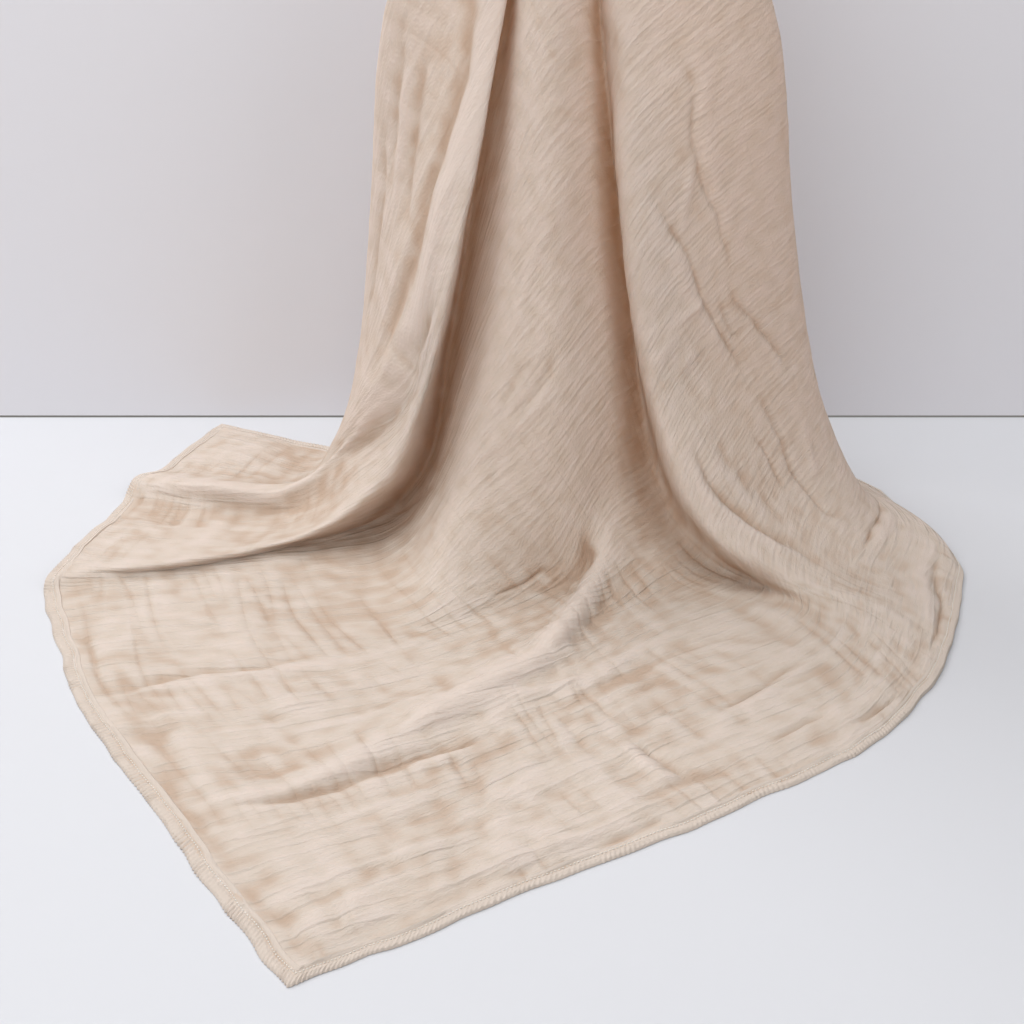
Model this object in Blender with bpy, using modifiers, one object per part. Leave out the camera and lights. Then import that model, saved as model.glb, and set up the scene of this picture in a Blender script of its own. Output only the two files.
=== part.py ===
"""A square muslin swaddle blanket, hung by one corner so that it falls in three forward folds
and pools on the floor.

The blanket is one sheet, hemmed all round. The origin is the held corner, +Z is up and the
front faces -Y. The sheet is lofted over the lines along which it folds: each line starts at
the held corner, falls to the floor and runs out over it to the hem.
"""
from collections import namedtuple
import math

import bpy
from mathutils import Vector

# Driving sizes, in metres.
THICKNESS = 0.002        # two layers of gauze with their crinkle
FLOOR = -0.96            # the floor, below the held corner
NECK_RADIUS = 0.050      # half cone that the cloth makes just under the held corner
NECK_DROP = 0.086        # how far down that half cone is measured
MM = 0.001

# Heights above the floor at which the fold lines are placed, from the top down.
SHOULDER, WAIST, KNEE, ANKLE = 0.60, 0.36, 0.20, 0.08

# One row for each line along which the cloth folds, from its left edge to its right edge.
# spread: share of the way round the held corner, 0 at the left edge and 1 at the right.
# shoulder to hem: plan place in millimetres, (right, back) of the held corner, at the four
# heights above, where the line comes to the floor, half way over the floor, and at the hem.
# lifts: height in millimetres above the floor at those last three places.
# cells: number of faces between this line and the next.
Fold = namedtuple("Fold", "name spread shoulder waist knee ankle foot floor hem lifts cells")
FOLDS = [
    Fold("left edge", 0.00, (-182, 40), (-200, 105), (-215, 180), (-245, 205),
         (-290, 225), (-380, 270), (-462, 312), (0, 0, 0), 3),
    Fold("left turn", 0.05, (-187, 20), (-218, 58), (-240, 105), (-268, 115),
         (-315, 150), (-408, 195), (-490, 233), (0, 0, 0), 5),
    Fold("face edge", 0.16, (-112, -22), (-168, -38), (-213, -25), (-275, 50),
         (-335, 88), (-430, 115), (-515, 152), (4, 3, 3), 3),
    Fold("rear ridge", 0.19, (-97, -32), (-152, -62), (-170, -72), (-258, 22),
         (-330, 42), (-438, 42), (-533, 95), (30, 28, 14), 4),
    Fold("rear valley", 0.22, (-84, -42), (-137, -82), (-164, -84), (-240, -15),
         (-326, 13), (-441, 20), (-541, 52), (2, 1, 1), 5),
    Fold("left fold", 0.25, (-67, -52), (-117, -105), (-157, -104), (-210, -88),
         (-300, -100), (-430, -158), (-569, -163), (26, 23, 10), 5),
    Fold("left crease", 0.30, (-74, -22), (-108, -25), (-135, -15), (-160, -5),
         (-225, -5), (-400, -128), (-567, -178), (6, 9, 3), 4),
    Fold("left flank", 0.35, (-62, -20), (-88, -52), (-112, -65), (-145, -85),
         (-200, -150), (-335, -275), (-480, -393), (0, 0, 0), 4),
    Fold("lobe edge", 0.40, (-45, -62), (-62, -92), (-85, -122), (-120, -155),
         (-155, -240), (-280, -385), (-405, -509), (0, 0, 0), 5),
    Fold("lobe crest", 0.47, (-19, -70), (-17, -97), (-16, -132), (-15, -152),
         (-5, -170), (-105, -455), (-225, -783), (3, 0, 0), 5),
    Fold("lobe flank", 0.52, (10, -56), (30, -58), (45, -85), (50, -112),
         (75, -165), (90, -375), (98, -588), (3, 0, 0), 4),
    Fold("right crease", 0.57, (29, -28), (60, -14), (83, -25), (108, -48),
         (160, -115), (256, -236), (282, -459), (4, 3, 0), 5),
    Fold("right fold", 0.62, (46, -66), (63, -86), (94, -106), (145, -162),
         (232, -212), (312, -232), (380, -312), (26, 14, 5), 5),
    Fold("right panel", 0.76, (130, -55), (150, -62), (190, -62), (240, -95),
         (325, -150), (385, -172), (427, -193), (14, 6, 2), 5),
    Fold("right turn", 0.91, (205, 5), (252, 30), (287, 38), (332, 30),
         (372, 0), (428, -72), (443, -118), (24, 12, 4), 4),
    Fold("right edge", 1.00, (190, 50), (208, 118), (245, 150), (275, 170),
         (325, 180), (368, 140), (400, 96), (0, 0, 0), 0),
]
# Rows of faces between one place on a line and the next, from the held corner to the hem.
ROWS = (2, 4, 3, 3, 3, 3, 7, 7)

# Low humps in the part that lies on the floor, in millimetres: the two ends, height and
# half width.
Hump = namedtuple("Hump", "name start end height width")
HUMPS = [
    Hump("pocket lip", (46, -140), (-20, -300), 23, 26),
    Hump("front ridge", (-20, -300), (-140, -440), 14, 30),
    Hump("front ridge end", (-140, -440), (-290, -565), 6, 34),
]


def knot(start, end):
    """Knot length of a centripetal curve between two of its points."""
    return max((end - start).length, 1e-9) ** 0.5


def curve(points, counts, corner=0, sharpness=0.0):
    """Points of a centripetal Catmull-Rom curve, with counts[i] steps from points[i] on.

    It turns sharply at points[corner] where sharpness is 1.
    """
    knots = [knot(a, b) for a, b in zip(points, points[1:])]
    chords = [(b - a) / k for a, b, k in zip(points, points[1:], knots)]
    slopes = [chords[0]]
    for i in range(1, len(points) - 1):
        across = (points[i + 1] - points[i - 1]) / (knots[i - 1] + knots[i])
        slopes.append(chords[i - 1] - across + chords[i])
    slopes.append(chords[-1])
    path = [points[0]]
    for i, count in enumerate(counts):
        leaving = slopes[i].lerp(chords[i], sharpness if i == corner else 0)
        arriving = slopes[i + 1].lerp(chords[i], sharpness if i + 1 == corner else 0)
        for step in range(1, count + 1):
            t = step / count
            path.append(points[i] * (2 * t**3 - 3 * t**2 + 1)
                        + leaving * knots[i] * (t**3 - 2 * t**2 + t)
                        + points[i + 1] * (3 * t**2 - 2 * t**3)
                        + arriving * knots[i] * (t**3 - t**2))
    return path


def fold_line(fold):
    """Places of one fold line, from the held corner to the hem."""
    turn = math.pi * fold.spread
    places = [Vector((0, 0, 0)),
              Vector((-NECK_RADIUS * math.cos(turn), -NECK_RADIUS * math.sin(turn), -NECK_DROP))]
    heights = (SHOULDER, WAIST, KNEE, ANKLE) + tuple(lift * MM for lift in fold.lifts)
    plan = (fold.shoulder, fold.waist, fold.knee, fold.ankle, fold.foot, fold.floor, fold.hem)
    for (right, back), height in zip(plan, heights):
        places.append(Vector((right * MM, back * MM, FLOOR + height)))
    return places


def hump_height(place):
    """How far the humps raise the sheet at a place near the floor."""
    rise = 0.0
    for hump in HUMPS:
        start, end = (Vector(p) * MM for p in (hump.start, hump.end))
        along = (place.xy - start).dot(end - start) / (end - start).length_squared
        nearest = start.lerp(end, min(max(along, 0), 1))
        near = (place.xy - nearest).length / (hump.width * MM)
        rise = max(rise, hump.height * MM * math.exp(-near * near))
    near_floor = min(max(1 - (place.z - FLOOR) / ANKLE, 0), 1)
    return rise * near_floor


def remove_everything():
    for item in list(bpy.data.objects):
        bpy.data.objects.remove(item, do_unlink=True)


def muslin():
    """Undyed-looking sand coloured cotton gauze, dull all over."""
    material = bpy.data.materials.new("muslin")
    material.use_nodes = True
    shader = material.node_tree.nodes["Principled BSDF"]
    shader.inputs["Base Color"].default_value = (0.70, 0.58, 0.47, 1)
    shader.inputs["Roughness"].default_value = 0.95
    shader.inputs["Metallic"].default_value = 0.0
    return material


def blanket(collection):
    """The sheet: rows of points across the fold lines, skinned and given its thickness."""
    lines = [curve(fold_line(fold), ROWS) for fold in FOLDS]
    cells = [fold.cells for fold in FOLDS[:-1]]
    corner = [fold.name for fold in FOLDS].index("lobe crest")
    last = len(lines[0]) - 1
    points = [Vector((0, 0, 0))]
    for level in range(1, last + 1):
        sharpness = max(1 - (last - level) / ROWS[-1], 0)
        for place in curve([line[level] for line in lines], cells, corner, sharpness):
            place.z = max(place.z + hump_height(place), FLOOR)
            points.append(place)
    across = sum(cells) + 1
    faces = [(0, 1 + i, 2 + i) for i in range(across - 1)]
    for level in range(last - 1):
        first = 1 + level * across
        for i in range(first, first + across - 1):
            faces.append((i, i + across, i + across + 1, i + 1))
    mesh = bpy.data.meshes.new("blanket")
    mesh.from_pydata(points, [], faces)
    mesh.shade_smooth()
    mesh.materials.append(muslin())
    sheet = bpy.data.objects.new("blanket", mesh)
    collection.objects.link(sheet)
    solid = sheet.modifiers.new("thickness", "SOLIDIFY")
    solid.thickness = THICKNESS
    solid.offset = 1
    return sheet


remove_everything()
swaddle = bpy.data.collections.new("swaddle blanket")
bpy.context.scene.collection.children.link(swaddle)
blanket(swaddle)
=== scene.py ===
import math
from collections import namedtuple

import bpy
import numpy as np
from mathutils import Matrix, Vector, geometry
from mathutils.bvhtree import BVHTree


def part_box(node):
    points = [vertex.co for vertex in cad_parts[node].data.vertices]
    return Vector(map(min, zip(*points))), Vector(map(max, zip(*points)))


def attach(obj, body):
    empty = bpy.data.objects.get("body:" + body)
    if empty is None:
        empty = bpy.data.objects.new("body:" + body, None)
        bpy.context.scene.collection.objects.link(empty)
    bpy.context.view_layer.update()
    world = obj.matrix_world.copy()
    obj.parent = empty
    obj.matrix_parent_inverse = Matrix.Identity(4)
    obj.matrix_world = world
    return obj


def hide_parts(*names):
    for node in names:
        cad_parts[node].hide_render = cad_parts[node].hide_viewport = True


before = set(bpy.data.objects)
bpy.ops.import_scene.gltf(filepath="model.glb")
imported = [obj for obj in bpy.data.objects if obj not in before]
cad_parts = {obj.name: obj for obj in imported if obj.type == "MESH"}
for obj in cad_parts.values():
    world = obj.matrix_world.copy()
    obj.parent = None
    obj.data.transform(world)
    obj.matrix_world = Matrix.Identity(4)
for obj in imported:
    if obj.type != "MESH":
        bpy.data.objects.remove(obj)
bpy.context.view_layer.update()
scene = bpy.context.scene
MM = 0.001

# ---------------------------------------------------------------------------------------------
# The cloth.
# One square of crinkled double gauze, held by a corner. It falls in three folds that come
# forward, and its other half lies on the floor.
# ---------------------------------------------------------------------------------------------
SIDE = 1.2                              # the cloth's own size
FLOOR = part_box("blanket")[0][2]         # the held corner is at the origin
SHOULDER, WAIST, KNEE, ANKLE = 0.60, 0.36, 0.20, 0.08    # heights over the floor
NECK_RADIUS = 0.050
NECK_DROP = 0.086

# Each row is a line along which the cloth folds, from the held corner down to the floor and out
# over it to the hem. spread: share of the way round the held corner. hem_at: distance along the
# two front hems, from the back left corner. shoulder to hem: plan places in mm. lifts: heights
# in mm over the floor at the last three places.
Fold = namedtuple("Fold", "name spread hem_at shoulder waist knee ankle foot floor hem lifts")
FOLDS = [
    Fold("left edge", 0.00, 0.000, (-182, 40), (-200, 105), (-215, 180), (-245, 205),
         (-290, 225), (-380, 270), (-462, 312), (0, 0, 0)),
    Fold("left turn", 0.05, 0.084, (-187, 20), (-218, 58), (-240, 105), (-268, 115),
         (-315, 150), (-408, 195), (-490, 233), (0, 0, 0)),
    Fold("face edge", 0.16, 0.169, (-112, -22), (-168, -38), (-213, -25), (-275, 50),
         (-335, 88), (-430, 115), (-515, 152), (4, 3, 3)),
    Fold("rear ridge", 0.19, 0.229, (-97, -32), (-152, -62), (-170, -72), (-258, 22),
         (-330, 42), (-438, 42), (-533, 95), (30, 28, 14)),
    Fold("rear valley", 0.22, 0.272, (-84, -42), (-137, -82), (-164, -84), (-240, -15),
         (-326, 13), (-441, 20), (-541, 52), (2, 1, 1)),
    Fold("left fold", 0.25, 0.488, (-67, -52), (-117, -105), (-157, -104), (-210, -88),
         (-300, -100), (-430, -158), (-569, -163), (26, 23, 10)),
    Fold("left crease", 0.30, 0.505, (-74, -22), (-108, -25), (-135, -15), (-160, -5),
         (-225, -5), (-400, -128), (-567, -178), (6, 9, 3)),
    Fold("left flank", 0.35, 0.734, (-62, -20), (-88, -52), (-112, -65), (-145, -85),
         (-200, -150), (-335, -275), (-480, -393), (0, 0, 0)),
    Fold("lobe edge", 0.40, 0.872, (-45, -62), (-62, -92), (-85, -122), (-120, -155),
         (-155, -240), (-280, -385), (-405, -509), (0, 0, 0)),
    Fold("lobe crest", 0.47, 1.200, (-19, -70), (-17, -97), (-16, -132), (-15, -152),
         (-5, -170), (-105, -455), (-225, -783), (3, 0, 0)),
    Fold("lobe flank", 0.52, 1.578, (10, -56), (30, -58), (45, -85), (50, -112),
         (75, -165), (90, -375), (98, -588), (3, 0, 0)),
    Fold("right crease", 0.57, 1.798, (29, -28), (60, -14), (83, -25), (108, -48),
         (160, -115), (256, -236), (282, -459), (4, 3, 0)),
    Fold("right fold", 0.62, 1.985, (46, -66), (63, -86), (94, -106), (145, -162),
         (232, -212), (312, -232), (380, -312), (26, 14, 5)),
    Fold("right panel", 0.76, 2.106, (130, -55), (150, -62), (190, -62), (240, -95),
         (325, -150), (385, -172), (427, -193), (14, 6, 2)),
    Fold("right turn", 0.91, 2.182, (205, 5), (252, 30), (287, 38), (332, 30),
         (372, 0), (428, -72), (443, -118), (24, 12, 4)),
    Fold("right edge", 1.00, 2.400, (190, 50), (208, 118), (245, 150), (275, 170),
         (325, 180), (368, 140), (400, 96), (0, 0, 0)),
]
# How far each line has turned in the cloth, from its direction at the held corner towards its
# place on the hem, at the corner, the neck and the seven places of the table.
DRIFT = (0, 0, 0, 0.1, 0.25, 0.4, 0.6, 0.85, 1)

# Low humps in the part that lies on the floor: ends and half width in mm, and height.
Hump = namedtuple("Hump", "name start end height width")
HUMPS = [
    Hump("pocket lip", (46, -140), (-20, -300), 23, 26),
    Hump("front ridge", (-20, -300), (-140, -440), 14, 30),
    Hump("front ridge end", (-140, -440), (-290, -565), 6, 34),
]


def curve_matrix(steps, points, corner=None, sharpness=None):
    """Centripetal Catmull-Rom curves through points[line, row], steps per interval.

    The first three numbers of a point are its place, and the others follow along. At the line
    numbered corner the curves turn sharply, as far as sharpness[row] says.
    """
    gaps = np.maximum(np.linalg.norm(np.diff(points, axis=0)[..., :3], axis=-1), 1e-9) ** 0.5
    gaps = gaps[..., None]
    chords = np.diff(points, axis=0) / gaps
    slopes = np.empty_like(points)
    slopes[0], slopes[-1] = chords[0], chords[-1]
    slopes[1:-1] = (chords[:-1] + chords[1:]
                    - (points[2:] - points[:-2]) / (gaps[:-1] + gaps[1:]))
    path = [points[0]]
    for i in range(len(points) - 1):
        leaving, arriving = slopes[i], slopes[i + 1]
        if corner == i:
            leaving = leaving + (chords[i] - leaving) * sharpness[:, None]
        if corner == i + 1:
            arriving = arriving + (chords[i] - arriving) * sharpness[:, None]
        for step in range(1, steps + 1):
            t = step / steps
            path.append(points[i] * (2 * t**3 - 3 * t**2 + 1)
                        + leaving * gaps[i] * (t**3 - 2 * t**2 + t)
                        + points[i + 1] * (3 * t**2 - 2 * t**3)
                        + arriving * gaps[i] * (t**3 - t**2))
    return np.array(path)


def hem_direction(q):
    """Angle at the held corner, from its left side, of the hem at distance q."""
    return math.atan2(min(SIDE, q), min(SIDE, 2 * SIDE - q))


def fold_places():
    """Places of all the fold lines, each with its distance and angle in the flat cloth."""
    places = []
    for fold in FOLDS:
        turn = math.pi * fold.spread
        line = [(0, 0, 0),
                (-NECK_RADIUS * math.cos(turn), -NECK_RADIUS * math.sin(turn), -NECK_DROP)]
        plan = (fold.shoulder, fold.waist, fold.knee, fold.ankle, fold.foot, fold.floor, fold.hem)
        heights = (SHOULDER, WAIST, KNEE, ANKLE) + tuple(lift * MM for lift in fold.lifts)
        line += [(right * MM, back * MM, FLOOR + height)
                 for (right, back), height in zip(plan, heights)]
        line = np.array(line, float)
        out = np.concatenate([[0], np.cumsum(np.linalg.norm(np.diff(line, axis=0), axis=1))])
        end = hem_direction(fold.hem_at)
        reach = SIDE / max(math.cos(end), math.sin(end))
        start = fold.spread * math.pi / 2
        angle = start + (end - start) * np.array(DRIFT)
        places.append(np.column_stack([line, out / out[-1] * reach, angle]))
    return np.array(places)


def loft():
    """A fine skin over the fold lines: its points in space and in the flat cloth."""
    down, across = 18, 14
    lines = curve_matrix(down, fold_places().transpose(1, 0, 2))
    rows = len(lines)
    sharpness = np.clip(1 - (rows - 1 - np.arange(rows)) / down, 0, 1)
    crest = [fold.name for fold in FOLDS].index("lobe crest")
    skin = curve_matrix(across, lines.transpose(1, 0, 2), crest, sharpness).transpose(1, 0, 2)
    distance, angle = skin[..., 3], np.clip(skin[..., 4], 0, math.pi / 2)
    hem = SIDE / np.maximum(np.cos(angle), np.sin(angle))
    distance = distance * (1 + (hem[-1] / distance[-1] - 1) * sharpness[:, None])
    distance[:-1] = np.minimum(distance[:-1], hem[:-1])
    return skin[..., :3], np.stack([distance * np.cos(angle), distance * np.sin(angle)], axis=-1)


def hump_rise(points):
    """How far the humps lift each point of the cloth."""
    rise = np.zeros(points.shape[:-1])
    for hump in HUMPS:
        start, end = np.array(hump.start) * MM, np.array(hump.end) * MM
        run = end - start
        along = np.clip((points[..., :2] - start) @ run / np.sum(run**2), 0, 1)
        off = np.linalg.norm(points[..., :2] - start - along[..., None] * run, axis=-1)
        rise = np.maximum(rise, hump.height * MM * np.exp(-(off / (hump.width * MM)) ** 2))
    return rise * np.clip(1 - (points[..., 2] - FLOOR) / ANKLE, 0, 1)


def hang(along, over):
    """Lays a grid of the flat cloth on the skin of the fold lines."""
    skin, flat = loft()
    rows, columns = skin.shape[:2]
    flat_points = [Vector((u, v, 0)) for u, v in flat.reshape(-1, 2)]
    space_points = [Vector(p) for p in skin.reshape(-1, 3)]
    faces = []
    for r in range(rows - 1):
        for c in range(columns - 1):
            a = r * columns + c
            if r:
                faces.append((a, a + columns, a + 1))
            faces.append((a + 1, a + columns, a + columns + 1))
    tree = BVHTree.FromPolygons(flat_points, faces)
    points = np.empty((len(along), len(over), 3))
    for i, u in enumerate(along):
        for j, v in enumerate(over):
            place, _, face, _ = tree.find_nearest(Vector((u, v, 0)))
            corners = faces[face]
            points[i, j] = geometry.barycentric_transform(
                place, *(flat_points[k] for k in corners), *(space_points[k] for k in corners))
    return points


# The creases that show most, in the flat cloth: the path in mm from the held corner, first along
# the hem towards the back left corner and then along the other, with height (a trough is below
# 0) and half width in mm. Most run along a thread.
Crease = namedtuple("Crease", "name path height width")
CREASES = [
    # over the floor, left and middle
    Crease("left trough", [(1187, 736), (1160, 736), (1124, 717), (1089, 709), (1050, 706),
                           (993, 680)], -4.5, 5),
    Crease("left trough lip", [(1180, 752), (1124, 737), (1050, 724), (980, 702)], 3.0, 8),
    Crease("steep trough", [(1161, 737), (1160, 805), (1164, 881)], -3.4, 7),
    Crease("steep ridge", [(1143, 745), (1141, 810), (1145, 885)], 2.0, 9),
    Crease("outer ridge", [(1165, 952), (1118, 949), (1087, 947), (1030, 944), (970, 942)],
           3.4, 8),
    Crease("outer trough", [(1165, 964), (1107, 967), (1052, 963), (984, 960), (951, 964),
                            (915, 968)], -3.8, 5),
    Crease("outer lip", [(1140, 984), (1052, 980), (984, 977), (930, 982)], 2.8, 8),
    Crease("thread crease one", [(1110, 839), (1111, 893), (1113, 947)], -3.0, 4),
    Crease("thread crease two", [(1079, 778), (1078, 851), (1074, 919)], -3.0, 4),
    Crease("thread crease three", [(920, 592), (924, 655)], -3.0, 4),
    Crease("thread crease four", [(928, 778), (936, 840), (943, 894)], -3.2, 4),
    Crease("thread crease five", [(842, 701), (852, 772), (861, 845)], -3.6, 4),
    Crease("thread crease six", [(1012, 560), (1018, 640), (1030, 700)], -2.4, 5),
    Crease("thread crease seven", [(985, 860), (990, 930), (1000, 1000)], -2.4, 5),
    Crease("hem pucker", [(1178, 802), (1176, 836)], -3.0, 6),
    # the ridge that runs forward from the middle fold
    Crease("front ridge", [(640, 742), (680, 752), (727, 778), (775, 820), (813, 850), (852, 871),
                           (891, 881), (937, 893), (1004, 914), (1074, 943)], 5.5, 17),
    Crease("front valley", [(599, 786), (671, 795), (728, 831), (781, 857), (824, 882)], -3.5, 15),
    Crease("second ridge", [(932, 907), (880, 915), (836, 928), (794, 937), (735, 932),
                            (686, 926)], 3.5, 12),
    Crease("second trough", [(824, 957), (780, 955), (737, 959), (694, 957)], -3.4, 8),
    Crease("pocket", [(664, 700), (686, 721), (719, 719), (750, 710)], -13.0, 12),
    Crease("pocket crease", [(808, 672), (771, 673), (747, 672), (731, 684)], -4.0, 3),
    Crease("pocket hook", [(775, 692), (764, 699), (756, 720), (744, 751), (721, 735)],
           -5.0, 5),
    Crease("low crease", [(826, 772), (800, 776), (786, 818), (764, 810)], -3.0, 3.5),
    # over the floor, front and right
    Crease("right crease one", [(715, 1072), (691, 1064), (667, 1056), (629, 1043), (607, 1041)],
           -4.0, 3),
    Crease("right lip one", [(715, 1086), (667, 1070), (607, 1055)], 2.6, 7),
    Crease("right crease two", [(701, 1138), (662, 1133), (640, 1135)], -4.0, 3),
    Crease("right crease three", [(749, 995), (728, 992)], -3.0, 3),
    Crease("right crease four", [(756, 1047), (743, 1049), (724, 1048)], -3.0, 3),
    Crease("right crease five", [(984, 964), (948, 964)], -3.0, 4),
    Crease("corner crease", [(806, 1060), (800, 1100), (790, 1148)], -4.4, 3.5),
    Crease("corner ridge", [(822, 1060), (816, 1105), (806, 1145)], 3.0, 8),
    Crease("long front trough", [(845, 1148), (798, 1146), (751, 1155)], -3.4, 6),
    Crease("double crease left", [(581, 820), (567, 859), (578, 908), (594, 959), (602, 1029)],
           -3.0, 5),
    Crease("double crease right", [(566, 840), (560, 905), (576, 960), (584, 1030)], 2.2, 7),
    Crease("front hem trough one", [(905, 1181), (866, 1180), (843, 1180)], -4.5, 4),
    Crease("front hem trough two", [(983, 1181), (968, 1181)], -4.0, 4),
    Crease("front hem trough three", [(613, 1166), (572, 1177), (548, 1182)], -4.5, 4),
    Crease("front hem lip", [(1010, 1160), (900, 1162), (800, 1166)], 2.4, 8),
    # the bright face and the roll of the left fold
    Crease("rear crest", [(742, 200), (829, 206), (890, 219), (946, 235), (1012, 246), (1048, 237),
                          (1104, 227), (1176, 234)], 4.5, 6),
    Crease("under the crest", [(770, 228), (829, 232), (890, 243), (946, 258), (1012, 268), (1054, 256),
                               (1104, 248), (1164, 252)], -1.6, 8),
    Crease("face dent", [(619, 224), (672, 200), (705, 181), (700, 205), (692, 228)], -4.0, 7),
    Crease("face dent lip", [(640, 246), (684, 222), (712, 230)], 3.0, 9),
    Crease("face edge notch", [(676, 286), (702, 292), (738, 300)], -3.5, 7),
    Crease("roll edge", [(340, 98), (377, 111), (415, 128), (500, 148), (634, 161), (771, 169)],
           -8.0, 9),
    Crease("roll crest", [(340, 124), (404, 148), (488, 180), (601, 194), (728, 184)], 5.0, 12),
    Crease("panel crease one", [(412, 55), (487, 74), (566, 92)], -4.0, 5),
    Crease("panel crease two", [(417, 79), (511, 105), (597, 133)], -4.5, 5),
    Crease("panel crease three", [(514, 67), (619, 87), (734, 111)], -4.0, 5),
    Crease("panel ridge", [(430, 68), (510, 90), (600, 112)], 3.0, 6),
    Crease("hem pinch", [(1181, 237), (1178, 269)], -3.5, 5),
    # the middle fold
    Crease("fold streak one", [(587, 452), (518, 424), (460, 413)], 2.2, 7),
    Crease("fold streak two", [(682, 533), (616, 526), (533, 507)], -2.4, 7),
    Crease("fold streak three", [(735, 529), (643, 533), (594, 534)], 2.2, 7),
    Crease("fold side crease", [(602, 486), (640, 500), (677, 515)], -2.6, 6),
    Crease("faint crease", [(849, 396), (802, 410), (776, 472)], -2.8, 5),
    Crease("hollow side", [(230, 325), (261, 378), (290, 436)], -2.0, 8),
    # the right fold and panel
    Crease("long crease", [(198, 399), (203, 428), (204, 462), (221, 511), (223, 546), (220, 597),
                           (222, 632), (222, 665)], -3.6, 3.5),
    Crease("long crease lip", [(184, 402), (189, 462), (206, 520), (206, 590), (207, 665)], 2.4, 7),
    Crease("long crease end", [(235, 683), (235, 711), (218, 743), (202, 803), (198, 847)], -3.4, 3.5),
    Crease("second crease", [(284, 523), (280, 580), (280, 628), (281, 671), (276, 725), (264, 763),
                             (260, 806)], -3.8, 3.5),
    Crease("second crease lip", [(300, 530), (296, 628), (294, 700), (280, 770)], 2.4, 8),
    Crease("second crease end", [(261, 815), (259, 860), (259, 899), (269, 936), (272, 986), (272, 1002),
                                 (256, 1032)], -3.8, 3.5),
    Crease("zigzag crease", [(255, 685), (259, 711), (255, 744), (244, 750)], -3.4, 3.5),
    Crease("third crease", [(355, 822), (353, 859), (346, 901), (342, 933), (339, 962)], -3.6, 3.5),
    Crease("fourth crease", [(300, 861), (294, 890), (299, 935)], -3.0, 3.5),
    Crease("light wrinkle one", [(232, 529), (238, 548), (259, 570), (268, 590)], 3.0, 5),
    Crease("light wrinkle two", [(352, 720), (322, 714)], 2.6, 5),
    Crease("light wrinkle three", [(325, 668), (277, 672)], 2.6, 5),
    Crease("pleat", [(398, 801), (397, 846), (399, 887), (386, 941), (368, 994), (364, 1019)],
           -6.5, 5),
    Crease("pleat lip", [(414, 805), (414, 887), (402, 941), (382, 1000)], 4.5, 7),
    Crease("pleat upper lip", [(380, 800), (377, 832), (371, 894), (368, 930)], 3.2, 7),
    Crease("panel edge light", [(216, 908), (229, 936), (250, 967)], 2.4, 7),
    Crease("turn crease", [(170, 1070), (238, 1062), (280, 1067)], -4.2, 3.5),
    Crease("turn crease lip", [(170, 1084), (238, 1077), (280, 1082)], 2.6, 7),
    Crease("right hem crease", [(219, 1152), (264, 1155), (281, 1166), (313, 1178), (349, 1180),
                                (393, 1180), (425, 1181)], -5.0, 4),
    Crease("hem crease outer", [(250, 1134), (285, 1146), (330, 1160), (390, 1162)], 3.0, 8),
    # beside the left hem
    Crease("left hem crease one", [(1181, 600), (1180, 660), (1180, 715)], -3.2, 4),
    Crease("left hem crease two", [(1180, 853), (1180, 940), (1180, 1060)], -3.2, 4),
    Crease("left hem crease three", [(1180, 1060), (1180, 1110), (1178, 1180)], -3.2, 4),
]
CREASE_REACH = 4                        # half widths out to which a crease is felt
CREASE_FADE, CREASE_END = 0.3, 0.25     # share of its length that fades, and height at its end


def noise_field(u, v, length_u, length_v, seed):
    """Smooth noise from -1 to 1 in the flat cloth, with its own grain size along and over."""
    size = int(SIDE / length_u) + 6, int(SIDE / length_v) + 6
    lattice = np.random.default_rng(seed).uniform(-1, 1, size)
    x, y = u / length_u + 2, v / length_v + 2
    i, j = np.floor(x).astype(int), np.floor(y).astype(int)
    fx, fy = x - i, y - j

    def weights(t):
        return ((1 - t) ** 3 / 6, (3 * t**3 - 6 * t**2 + 4) / 6,
                (-3 * t**3 + 3 * t**2 + 3 * t + 1) / 6, t**3 / 6)

    total = 0
    for a, wx in enumerate(weights(fx)):
        for b, wy in enumerate(weights(fy)):
            total = total + wx * wy * lattice[i + a - 1, j + b - 1]
    return total * 1.9


def crease_relief(u, v):
    """Height of the creases over the smooth cloth, in mm."""
    place = np.stack([u, v], axis=-1) / MM
    total = np.zeros(u.shape)
    for crease in CREASES:
        path = np.array(crease.path, float)
        margin = CREASE_REACH * crease.width
        near = np.all((place > path.min(axis=0) - margin) & (place < path.max(axis=0) + margin),
                      axis=-1)
        spot = place[near]
        nearest = np.full(len(spot), 1e9)
        reach = np.zeros(len(spot))
        steps = np.linalg.norm(np.diff(path, axis=0), axis=1)
        before = np.concatenate([[0], np.cumsum(steps)])
        for start, end, step, done in zip(path[:-1], path[1:], steps, before):
            raw = (spot - start) @ (end - start) / step**2
            share = np.clip(raw, 0, 1)
            off = np.linalg.norm(spot - start - share[:, None] * (end - start), axis=1)
            closer = off < nearest
            nearest = np.where(closer, off, nearest)
            reach = np.where(closer, done + share * step, reach)
        length = before[-1]
        to_end = np.minimum(reach, length - reach)
        fade = np.clip(to_end / (CREASE_FADE * length) + CREASE_END, 0, 1)
        total[near] += crease.height * fade * np.exp(-(nearest / crease.width) ** 2)
    return total


def gauze_relief(u, v):
    """The crinkles that double gauze keeps from the wash, and the cloth's slow swell, in mm."""
    strength = 1 + 0.5 * noise_field(u, v, 0.15, 0.13, 11)
    long_wide = noise_field(u, v, 0.065, 0.0125, 12)
    long_fine = noise_field(u, v, 0.030, 0.0070, 13)
    cross_wide = noise_field(u, v, 0.0160, 0.050, 14)
    crinkles = strength * (0.1 - 1.7 * np.abs(long_wide) + 0.4 * long_fine
                           + 1.5 * np.abs(cross_wide))
    swell = (0.8 * noise_field(u, v, 0.055, 0.030, 15)
             + 1.2 * noise_field(u, v, 0.090, 0.080, 17))
    return crinkles, swell


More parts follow.
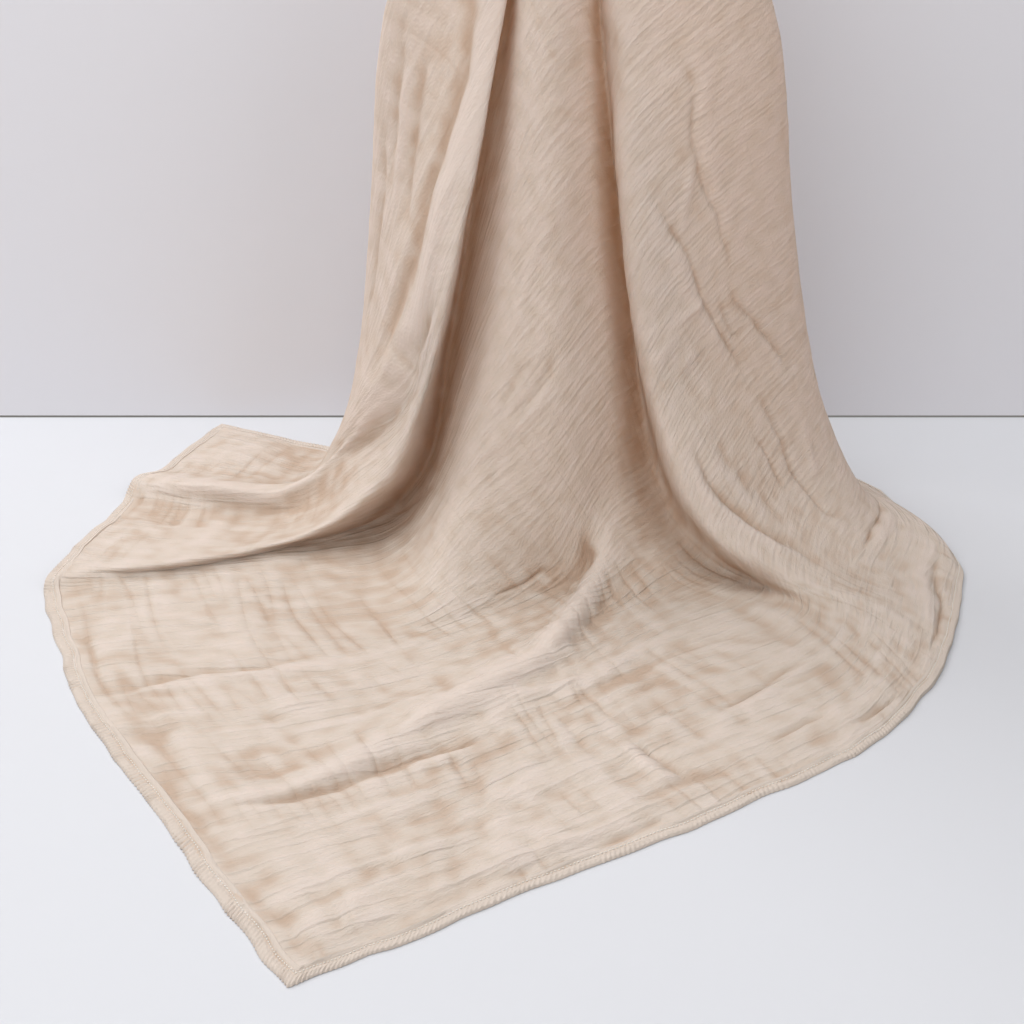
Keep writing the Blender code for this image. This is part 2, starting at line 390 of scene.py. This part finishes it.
def from_edge(u, v):
    """Distance in from the nearest edge of the cloth."""
    return np.minimum(np.minimum(u, SIDE - u), np.minimum(v, SIDE - v))


WANDER, SHIVER = 0.0045, 0.0018     # how far the creases stray from straight, slowly and finely
HEM_CALM = 0.025                    # the hem holds the crinkles down over this width
HANGING_CRINKLE = 0.32              # share of the crinkles that the cloth's own weight leaves


def sheet_relief(u, v, lying):
    """All that lifts the cloth from its smooth fold surface, and its fine part alone, in mm."""
    warp_u = (u + WANDER * noise_field(u, v, 0.070, 0.040, 21)
              + SHIVER * noise_field(u, v, 0.020, 0.016, 22))
    warp_v = (v + WANDER * noise_field(u, v, 0.045, 0.070, 23)
              + SHIVER * noise_field(u, v, 0.018, 0.020, 24))
    warp_u, warp_v = np.clip(warp_u, 0, SIDE), np.clip(warp_v, 0, SIDE)
    calm = np.clip(from_edge(u, v) / HEM_CALM, 0.3, 1)
    creases = crease_relief(warp_u, warp_v)
    crinkles, swell = gauze_relief(warp_u, warp_v)
    crinkles = crinkles * calm * (HANGING_CRINKLE + lying)
    return creases + crinkles + swell * calm, creases + crinkles


def grid_lines(count, bands):
    """Places of the grid's lines over the cloth, closer together in these bands, in mm."""
    fine = np.linspace(0, SIDE, 4801)
    close = [np.exp(-((fine / MM - middle) / half) ** 4) for middle, half in bands]
    density = 1 + 1.4 * np.max(close, axis=0)
    total = np.concatenate([[0], np.cumsum((density[1:] + density[:-1]) / 2)])
    return np.interp(np.linspace(0, total[-1], count + 1), total, fine)


def outward(points):
    """Unit normals of the grid of points, on the side that shows."""
    across = np.cross(np.gradient(points, axis=0), np.gradient(points, axis=1))
    return across / np.maximum(np.linalg.norm(across, axis=-1, keepdims=True), 1e-12)


THIN = 0.0013
LIFTED = 0.03                # the cloth hangs above this height, and lies below it
LIE, HEM_LIE = 0.0060, 0.0006           # height of the smooth cloth over the floor, and at its edge
RIM = 0.045                             # width over which it comes down to the edge
REST, HEM_REST = 0.0030, 0.0010         # its hollows flatten out this near the floor
# where a fold would pinch the cloth too tightly, in mm of the flat cloth
RIGHT_FOLD_END = [(470, 985), (490, 1010)]
UNDER_LEFT_FOLD = [(860, 372), (915, 398), (970, 424), (1025, 448), (1080, 474), (1135, 500)]
grid_u = grid_lines(164, [(225, 22), (285, 22), (405, 26), (812, 14), (852, 12), (1180, 16)])
grid_v = grid_lines(298, [(680, 22), (962, 16), (1068, 14), (1139, 8), (1178, 10)])
flat_u, flat_v = np.meshgrid(grid_u, grid_v, indexing="ij")
sheet = hang(grid_u, grid_v)
sheet[..., 2] += hump_rise(sheet)


def ease(points, spots, radius, passes):
    """Rounds the cloth off within this radius, in mm, of these places in the flat cloth."""
    near = [np.exp(-((flat_u / MM - u) ** 2 + (flat_v / MM - v) ** 2) / radius**2)
            for u, v in spots]
    share = np.max(near, axis=0)[1:-1, 1:-1, None]
    for _ in range(passes):
        mean = (points[2:, 1:-1] + points[:-2, 1:-1] + points[1:-1, 2:] + points[1:-1, :-2]) / 4
        points[1:-1, 1:-1] += share * (mean - points[1:-1, 1:-1])
    return points


sheet = ease(sheet, RIGHT_FOLD_END, radius=45, passes=80)
sheet = ease(sheet, UNDER_LEFT_FOLD, radius=30, passes=34)
facing = outward(sheet)
rounded = ease(sheet.copy(), [(SIDE / 2 / MM, SIDE / 2 / MM)], radius=4000, passes=70)
hollow = np.sum((rounded - sheet) * facing, axis=-1) / MM     # how deep each place lies in a fold
# The hem's thread draws the edge up, so the edge runs in and out in shallow scallops.
for near_side, along_side, axis, seed in ((SIDE - flat_u, flat_v, 0, 41), (SIDE - flat_v, flat_u, 1, 42),
                                          (flat_u, flat_v, 0, 43), (flat_v, flat_u, 1, 44)):
    pull = np.gradient(sheet, axis=axis)
    pull /= np.maximum(np.linalg.norm(pull, axis=-1, keepdims=True), 1e-9)
    pull *= 1 if seed < 43 else -1
    wave = noise_field(along_side, near_side * 0, 0.040, 0.3, seed) + 0.5 * noise_field(
        along_side, near_side * 0, 0.017, 0.3, seed + 10) - 0.5
    sheet += pull * (0.0030 * wave * np.exp(-(near_side / 0.035) ** 2))[..., None]
lying = np.clip(1 - (sheet[..., 2] - FLOOR) / LIFTED, 0, 1)
relief, fine_relief = sheet_relief(flat_u, flat_v, lying)
sheet = sheet + facing * relief[..., None] * MM
inside = from_edge(flat_u, flat_v)
sheet[..., 2] += lying * (HEM_LIE + (LIE - HEM_LIE) * np.clip(inside / RIM, 0, 1))
rest = HEM_REST + (REST - HEM_REST) * np.clip(inside / 0.03, 0, 1)
over = (sheet[..., 2] - FLOOR) / rest
sheet[..., 2] = FLOOR + rest * np.where(over > 1, over, np.exp(np.minimum(over - 1, 0)))


rows, columns = sheet.shape[:2]
corner = (np.arange(rows - 1)[:, None] * columns + np.arange(columns - 1)).ravel()
sheet_faces = np.stack([corner, corner + columns, corner + columns + 1, corner + 1], axis=1)
sheet_mesh = bpy.data.meshes.new("muslin_sheet")
sheet_mesh.from_pydata(sheet.reshape(-1, 3).tolist(), [], sheet_faces.tolist())
sheet_mesh.shade_smooth()
# The cloth's own map is its place in the flat square, in metres.
flat_places = np.stack([flat_u, flat_v], axis=-1).reshape(-1, 2)[sheet_faces.ravel()]
cloth_map = sheet_mesh.uv_layers.new(name="cloth")
cloth_map.data.foreach_set("uv", flat_places.astype(np.float32).ravel())

# What the material reads at each point: how high it stands on a crinkle or crease, less how deep it lies
# in a fold, which paints crests paler and hollows and folds browner, partly layer tone and partly
# painted shade; how much it lies;
# and how strongly the thin hollows across the cloth show, in the bump and as painted shade.
# The deeper a place lies in a fold, the lower this value, so deep folds are painted browner: painted
# shade.
crest_tone_and_fold_shade = 0.5 + 0.5 * np.tanh((fine_relief - np.clip(0.4 * hollow, -1, 2.5)) / 6)
patches = np.clip(0.55 + 1.1 * noise_field(flat_u, flat_v, 0.050, 0.045, 51), 0, 1)
for name, values in (("layer_tone_and_shade", crest_tone_and_fold_shade), ("lying", lying),
                     ("cross", patches * (0.25 + 0.75 * lying))):
    attribute = sheet_mesh.attributes.new(name, "FLOAT", "POINT")
    attribute.data.foreach_set("value", values.astype(np.float32).ravel())

blanket = bpy.data.objects.new("muslin_sheet", sheet_mesh)
scene.collection.objects.link(blanket)
bpy.ops.object.select_all(action="DESELECT")
bpy.context.view_layer.objects.active = blanket
thickness = blanket.modifiers.new("thickness", "SOLIDIFY")
thickness.thickness = THIN
thickness.offset = 1
bpy.ops.object.modifier_apply(modifier="thickness")
for vertex in blanket.data.vertices:
    vertex.co.z = max(vertex.co.z, FLOOR)

muslin = bpy.data.materials.new("muslin")
muslin.use_nodes = True
nodes, links = muslin.node_tree.nodes, muslin.node_tree.links
shader = nodes["Principled BSDF"]
shader.inputs["Roughness"].default_value = 0.95
shader.inputs["Specular IOR Level"].default_value = 0


def uv_noise(scale_u, scale_v):
    """A noise texture on the cloth's own map, with so many grains a metre along and over."""
    place = nodes.new("ShaderNodeUVMap")
    place.uv_map = "cloth"
    mapping = nodes.new("ShaderNodeMapping")
    mapping.inputs["Scale"].default_value = (scale_u, scale_v, 1)
    noise = nodes.new("ShaderNodeTexNoise")
    noise.inputs["Scale"].default_value = 1
    noise.inputs["Detail"].default_value = 0
    links.new(place.outputs["UV"], mapping.inputs["Vector"])
    links.new(mapping.outputs["Vector"], noise.inputs["Vector"])
    return noise.outputs["Fac"]


def compute(operation, first, second=0.0, added=0.0):
    """A sum on nodes: this operation on a first value, and a second and third where it has them."""
    node = nodes.new("ShaderNodeMath")
    node.operation = operation
    for socket, value in zip(node.inputs, (first, second, added)):
        if isinstance(value, (int, float)):
            socket.default_value = value
        else:
            links.new(value, socket)
    return node.outputs["Value"]


def thin_lines(noise, width):
    """1 along the thin winding lines where a noise crosses its middle, and 0 away from them."""
    away = compute("ABSOLUTE", compute("SUBTRACT", noise, 0.5))
    line = compute("MULTIPLY_ADD", away, -1 / width, 1.0)
    line.node.use_clamp = True
    return line


def at_point(name):
    """One of the values that the sheet carries at each point."""
    node = nodes.new("ShaderNodeAttribute")
    node.attribute_name = name
    return node.outputs["Fac"]


# Heights in mm: thin ridges along one thread, which the colour below also paints paler as painted light,
# thin hollows along the other, which it paints darker as painted shade, fine crinkles 5 mm apart and the
# slubs of the threads.
long_lines = thin_lines(uv_noise(7, 62), 0.09)
cross_lines = compute("MULTIPLY", thin_lines(uv_noise(46, 4), 0.12), at_point("cross"))
long_height = compute("MULTIPLY_ADD", at_point("lying"), 0.5, 0.3)
height = compute("MULTIPLY", long_lines, long_height)
height = compute("MULTIPLY_ADD", cross_lines, -1.0, height)
height = compute("MULTIPLY_ADD", uv_noise(34, 190), 1.25, height)
height = compute("MULTIPLY_ADD", uv_noise(260, 620), 0.5, height)
bump = nodes.new("ShaderNodeBump")
bump.inputs["Distance"].default_value = MM
links.new(height, bump.inputs["Height"])
normal = bump.outputs["Normal"]
links.new(normal, shader.inputs["Normal"])

# The two layers part on the crests and lie together in the hollows. The colour paints the crests pale
# and the hollows and
# deep folds browner: partly the layers' own tone, partly painted light and painted shade. Slubs and thin
# places add a soft mottle.
HOLLOW_SHADE_BROWN, SAND, CREST_PALE_LIT = (0.63, 0.52, 0.42), (0.755, 0.70, 0.625), (0.81, 0.755, 0.695)
LIT_FROM_BEHIND = (0.96, 0.62, 0.34)
shade = compute("MULTIPLY_ADD", uv_noise(52, 46), 0.55, at_point("layer_tone_and_shade"))
# Painted shade along the thin hollows across the cloth, and painted light along the thin ridges along
# it.
shade = compute("MULTIPLY_ADD", cross_lines, -0.22, shade)
shade = compute("MULTIPLY_ADD", long_lines, 0.10, shade)
tone = nodes.new("ShaderNodeValToRGB")
tone.color_ramp.elements[0].position = 0.40
tone.color_ramp.elements[0].color = (*HOLLOW_SHADE_BROWN, 1)
tone.color_ramp.elements[1].position = 1.0
tone.color_ramp.elements[1].color = (*CREST_PALE_LIT, 1)
tone.color_ramp.elements.new(0.76).color = (*SAND, 1)
links.new(shade, tone.inputs["Fac"])
links.new(tone.outputs["Color"], shader.inputs["Base Color"])
through = nodes.new("ShaderNodeBsdfTranslucent")    # light that comes through the gauze
through.inputs["Color"].default_value = (*LIT_FROM_BEHIND, 1)
links.new(normal, through.inputs["Normal"])
gauze = nodes.new("ShaderNodeMixShader")
gauze.inputs["Fac"].default_value = 0.32
links.new(shader.outputs["BSDF"], gauze.inputs[1])
links.new(through.outputs["BSDF"], gauze.inputs[2])
links.new(gauze.outputs["Shader"], nodes["Material Output"].inputs["Surface"])
blanket.data.materials.append(muslin)
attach(blanket, "root")
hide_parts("blanket")

# ---------------------------------------------------------------------------------------------
# The hem.
# All four edges are turned in twice, which makes a band 16 mm wide, and stitched down its
# middle. The thread draws the outer half up into ribs, and the inner half lies beside it as a
# soft welt. Both stand highest on the left side.
# ---------------------------------------------------------------------------------------------
# the section of the band, in mm: distance in from the edge, height over the face of the cloth,
# and how much the ribs and the welt raise it
HemPoint = namedtuple("HemPoint", "inset height ribbed welted")
HEM_SECTION = [
    HemPoint(-0.9, 0.0, 0, 0), HemPoint(0.0, 0.8, 0.6, 0), HemPoint(2.0, 1.1, 0.9, 0),
    HemPoint(5.0, 1.1, 0.9, 0), HemPoint(7.2, 0.5, 0.5, 0), HemPoint(8.4, 0.1, 0.1, 0),
    HemPoint(10.0, 0.8, 0, 0.7), HemPoint(13.4, 0.9, 0, 1.2), HemPoint(16.0, 0.1, 0, 0.2),
    HemPoint(14.0, -0.6, 0, 0), HemPoint(7.0, -0.6, 0, 0), HemPoint(0.5, -0.6, 0, 0),
]
HEM_MIDDLE, STITCH_LINE, HEM_WIDTH = 5, 8, 16       # distances in from the edge, in mm
HEM_STEP = 0.0010
RIB = 0.0047                                        # from one rib to the next
HEM_GAP = 0.0002                                    # from the floor up to a lying hem
HEM_COLOUR, HEM_LIGHT_THROUGH = (0.68, 0.60, 0.53), 0.15
# height of the ribs and the welt on the way round: the two hidden sides start and end the list,
# with the left hem from 1 to 2 and the front right hem from 2 to 3
ROUND_HEM = [0, 0.9, 1.05, 1.95, 2.05, 3, 4]
DRAWN_UP = [0.6, 0.8, 1.0, 1.0, 0.5, 0.5, 0.6]
WELTED = [0.5, 0.6, 1.3, 1.2, 0.25, 0.3, 0.5]


def on_cloth(flat):
    """Places midway through the cloth at these places of the flat cloth, and their facings."""
    x = np.clip(np.interp(flat[..., 0], grid_u, np.arange(len(grid_u))), 0, len(grid_u) - 1.0001)
    y = np.clip(np.interp(flat[..., 1], grid_v, np.arange(len(grid_v))), 0, len(grid_v) - 1.0001)
    i, j = x.astype(int), y.astype(int)
    fx, fy = (x - i)[..., None], (y - j)[..., None]

    def blend(values):
        return ((values[i, j] * (1 - fx) + values[i + 1, j] * fx) * (1 - fy)
                + (values[i, j + 1] * (1 - fx) + values[i + 1, j + 1] * fx) * fy)

    facing_here = blend(outward(sheet))
    facing_here /= np.linalg.norm(facing_here, axis=-1, keepdims=True)
    return blend(sheet) + facing_here * THIN / 2, facing_here


def round_the_edge(inset, along):
    """Flat places at this distance in from the edge, at shares 0 to 4 of the way round it."""
    side = np.floor(along).astype(int) % 4
    share = (along - np.floor(along))[..., None]
    corners = np.array([(inset, inset), (SIDE - inset, inset), (SIDE - inset, SIDE - inset),
                        (inset, SIDE - inset)])
    return corners[side] * (1 - share) + corners[(side + 1) % 4] * share


def rib_noise(along, length, seed):
    """Smooth noise from -1 to 1 along the whole hem, which closes on itself."""
    count = int(4 * SIDE / length)
    lattice = np.random.default_rng(seed).uniform(-1, 1, count)
    x = along / 4 * count
    i = np.floor(x).astype(int)
    f = x - i
    share = f * f * (3 - 2 * f)
    return lattice[i % count] * (1 - share) + lattice[(i + 1) % count] * share


hem_steps = int(4 * SIDE / HEM_STEP)
hem_along = np.arange(hem_steps) / hem_steps * 4
edge_rail, _ = on_cloth(round_the_edge(0.0, hem_along))
mid_rail, hem_facing = on_cloth(round_the_edge(HEM_MIDDLE * MM, hem_along))
inner_rail, _ = on_cloth(round_the_edge(HEM_WIDTH * MM, hem_along))
turns = 2 * math.pi * round(4 * SIDE / RIB) * hem_along / 4
ribs = (np.sin(turns + 3 * rib_noise(hem_along, 0.022, 31))
        * (0.6 + 0.4 * rib_noise(hem_along, 0.012, 32)) * np.interp(hem_along, ROUND_HEM, DRAWN_UP))
welt = (np.clip(0.55 + 0.6 * rib_noise(hem_along, 0.070, 33), 0.1, 1)
        * np.interp(hem_along, ROUND_HEM, WELTED))
ring = []
for point in HEM_SECTION:
    inset = point.inset - (0.9 * ribs + 0.5) * (point.inset < 1)    # the ribs notch the edge
    if point.inset <= HEM_MIDDLE:
        rail, share = edge_rail, (HEM_MIDDLE - inset) / HEM_MIDDLE
    else:
        rail, share = inner_rail, (inset - HEM_MIDDLE) / (HEM_WIDTH - HEM_MIDDLE)
    rise = (point.height + ribs * point.ribbed * np.sign(point.height) + welt * point.welted) * MM
    ring.append(mid_rail + (rail - mid_rail) * share[:, None] + hem_facing * rise[:, None])
ring = np.array(ring)
# Where the hem lies, the low points of its section come down to the floor.
low_points = np.array([point.height < 0.15 for point in HEM_SECTION])[:, None]
hem_lying = np.clip(2 - (mid_rail[:, 2] - FLOOR) / LIE, 0, 1) * low_points
ring[..., 2] += (FLOOR + HEM_GAP - ring[..., 2]) * hem_lying
ring[..., 2] = np.maximum(ring[..., 2], FLOOR + HEM_GAP)
ring_size = len(HEM_SECTION)
index = np.arange(ring_size * hem_steps).reshape(ring_size, hem_steps)
right = np.roll(index, -1, axis=1)
hem_faces = np.stack([index, np.roll(index, -1, axis=0), np.roll(right, -1, axis=0), right], -1)
hem_faces = hem_faces.reshape(-1, 4)
hem_mesh = bpy.data.meshes.new("hem")
hem_mesh.from_pydata(ring.reshape(-1, 3).tolist(), [], hem_faces.tolist())
hem_uv = hem_mesh.uv_layers.new(name="cloth")
step_uv = np.arange(hem_steps) * HEM_STEP
across_uv = np.array([point.inset for point in HEM_SECTION]) * MM
corner_u = np.stack([step_uv, step_uv, step_uv + HEM_STEP, step_uv + HEM_STEP], -1)
corner_v = np.stack([across_uv, np.roll(across_uv, -1), np.roll(across_uv, -1), across_uv], -1)
pairs = np.empty((ring_size, hem_steps, 4, 2))
pairs[..., 0] = corner_u[None]
pairs[..., 1] = corner_v[:, None]
hem_uv.data.foreach_set("uv", pairs.astype(np.float32).ravel())
hem_mesh.shade_smooth()
hem_mesh.set_sharp_from_angle(angle=math.radians(55))
hem = bpy.data.objects.new("hem", hem_mesh)
scene.collection.objects.link(hem)

hem_cloth = muslin.copy()
hem_cloth.name = "hem_muslin"
hem_mesh.materials.append(hem_cloth)
hem_shader = hem_cloth.node_tree.nodes["Principled BSDF"]
for link in list(hem_shader.inputs["Base Color"].links):
    hem_cloth.node_tree.links.remove(link)
hem_shader.inputs["Base Color"].default_value = (*HEM_COLOUR, 1)
hem_gauze = next(node for node in hem_cloth.node_tree.nodes if node.type == "MIX_SHADER")
hem_gauze.inputs["Fac"].default_value = HEM_LIGHT_THROUGH
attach(hem, "root")

# ---------------------------------------------------------------------------------------------
# The stitches.
# One row of short running stitches in cotton thread holds the hem down, 8 mm in from the edge,
# and shows on both sides of the cloth.
# ---------------------------------------------------------------------------------------------
STITCH_PITCH, STITCH_LENGTH, STITCH_RADIUS = 0.0036, 0.0021, 0.00055
STITCH_OVER, STITCH_DIP = 0.0010, 0.0004    # over the middle of the cloth, and lower at the ends
THREAD_COLOUR = (0.88, 0.82, 0.75)
stitch_count = int(4 * SIDE / STITCH_PITCH)
starts = (np.arange(stitch_count) + 0.3) / stitch_count * 4
ends = starts + STITCH_LENGTH / SIDE
stitch_points, stitch_faces = [], []
start_places, stitch_facing = on_cloth(round_the_edge(STITCH_LINE * MM, starts))
end_places, _ = on_cloth(round_the_edge(STITCH_LINE * MM, ends))
for side in (1, -1):
    for start, end, facing_here in zip(start_places, end_places, stitch_facing):
        lift = facing_here * side * STITCH_OVER
        end_lift = facing_here * side * (STITCH_OVER - STITCH_DIP)
        along_stitch = end - start
        sideways = np.cross(along_stitch, facing_here)
        sideways *= STITCH_RADIUS / np.linalg.norm(sideways)
        upright = facing_here * STITCH_RADIUS
        first = len(stitch_points)
        stitch_points.append(start + end_lift)
        for share in (0.22, 0.78):
            middle = start + along_stitch * share + lift
            stitch_points += [middle + sideways, middle + upright, middle - sideways, middle - upright]
        stitch_points.append(end + end_lift)
        for k in range(4):
            n = (k + 1) % 4
            stitch_faces.append((first, first + 1 + n, first + 1 + k))
            stitch_faces.append((first + 1 + k, first + 1 + n, first + 5 + n, first + 5 + k))
            stitch_faces.append((first + 9, first + 5 + k, first + 5 + n))
stitch_mesh = bpy.data.meshes.new("hem_stitches")
stitch_mesh.from_pydata([(x, y, max(z, FLOOR)) for x, y, z in stitch_points], [], stitch_faces)
stitch_mesh.shade_smooth()
stitches = bpy.data.objects.new("hem_stitches", stitch_mesh)
scene.collection.objects.link(stitches)
thread = bpy.data.materials.new("cotton_thread")
thread.use_nodes = True
thread_shader = thread.node_tree.nodes["Principled BSDF"]
thread_shader.inputs["Base Color"].default_value = (*THREAD_COLOUR, 1)
thread_shader.inputs["Roughness"].default_value = 0.8
stitch_mesh.materials.append(thread)
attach(stitches, "root")

# ---------------------------------------------------------------------------------------------
# The room.
# A matt floor and a matt wall behind the cloth, large soft lights and the camera.
# ---------------------------------------------------------------------------------------------
WALL = 0.342                            # behind the held corner
GAP = 0.003                             # between the floor and the wall
ROOM_HALF, ROOM_TOP = 4, 3
FLOOR_COLOUR, WALL_COLOUR = (0.635, 0.645, 0.675), (0.765, 0.755, 0.79)
DAYLIGHT, DAYLIGHT_STRENGTH = (1, 0.965, 0.92), 0.20
CAMERA_HEIGHT, CAMERA_TILT = 0.78, 25.3     # over the floor, and degrees down
LIGHT_AIM = (0, 0, -0.6)


def stage_plane(name, corners, colour):
    """A flat backdrop in one plain colour."""
    mesh = bpy.data.meshes.new(name)
    mesh.from_pydata(corners, [], [(0, 1, 2, 3)])
    paint = bpy.data.materials.new(name)
    paint.use_nodes = True
    matt = paint.node_tree.nodes["Principled BSDF"]
    matt.inputs["Base Color"].default_value = (*colour, 1)
    matt.inputs["Roughness"].default_value = 1
    matt.inputs["Specular IOR Level"].default_value = 0
    mesh.materials.append(paint)
    plane = bpy.data.objects.new(name, mesh)
    scene.collection.objects.link(plane)
    return plane


ground = FLOOR - 0.0004
skirting = ground + GAP
stage_plane("floor", [(-ROOM_HALF, -ROOM_HALF, ground), (ROOM_HALF, -ROOM_HALF, ground),
                      (ROOM_HALF, WALL, ground), (-ROOM_HALF, WALL, ground)], FLOOR_COLOUR)
wall = stage_plane("wall", [(-ROOM_HALF, WALL, skirting), (ROOM_HALF, WALL, skirting),
                            (ROOM_HALF, WALL, ROOM_TOP), (-ROOM_HALF, WALL, ROOM_TOP)], WALL_COLOUR)
wall.visible_shadow = False      # the window light comes from behind it
# From behind, the wall is clear, so that the back of the cloth can be seen.
wall_tree = wall.data.materials[0].node_tree
wall_side = wall_tree.nodes.new("ShaderNodeNewGeometry")
clear = wall_tree.nodes.new("ShaderNodeBsdfTransparent")
one_sided = wall_tree.nodes.new("ShaderNodeMixShader")
wall_tree.links.new(wall_side.outputs["Backfacing"], one_sided.inputs["Fac"])
wall_tree.links.new(wall_tree.nodes["Principled BSDF"].outputs["BSDF"], one_sided.inputs[1])
wall_tree.links.new(clear.outputs["BSDF"], one_sided.inputs[2])
wall_tree.links.new(one_sided.outputs["Shader"],
                    wall_tree.nodes["Material Output"].inputs["Surface"])

camera = bpy.data.objects.new("camera", bpy.data.cameras.new("camera"))
scene.collection.objects.link(camera)
camera.location = (-0.06, -1.62, CAMERA_HEIGHT + FLOOR)
camera.rotation_euler = (math.radians(90 - CAMERA_TILT), 0, 0)
camera.data.lens = 52.73
camera.data.sensor_width = 36
scene.camera = camera


def soft_light(name, place, size, power):
    """A square soft light that points at the cloth."""
    lamp = bpy.data.lights.new(name, "AREA")
    lamp.size = size
    lamp.energy = power
    holder = bpy.data.objects.new(name, lamp)
    scene.collection.objects.link(holder)
    holder.location = place
    aim = Vector(LIGHT_AIM) - Vector(place)
    holder.rotation_euler = aim.to_track_quat("-Z", "Y").to_euler()


soft_light("window", (-1.7, 1.5, 1.5), 1.8, 42)
soft_light("ceiling", (-0.2, -0.6, 2.0), 1.6, 27)
soft_light("left", (-1.9, -0.7, 1.7), 1.4, 21)
soft_light("front", (-1.4, -2.8, 0.9), 2.0, 31)
soft_light("right", (2.0, -2.2, 1.0), 1.8, 18)
world = bpy.data.worlds.new("room")
world.use_nodes = True
world.node_tree.nodes["Background"].inputs["Color"].default_value = (*DAYLIGHT, 1)
world.node_tree.nodes["Background"].inputs["Strength"].default_value = DAYLIGHT_STRENGTH
scene.world = world
scene.view_settings.view_transform = "Standard"
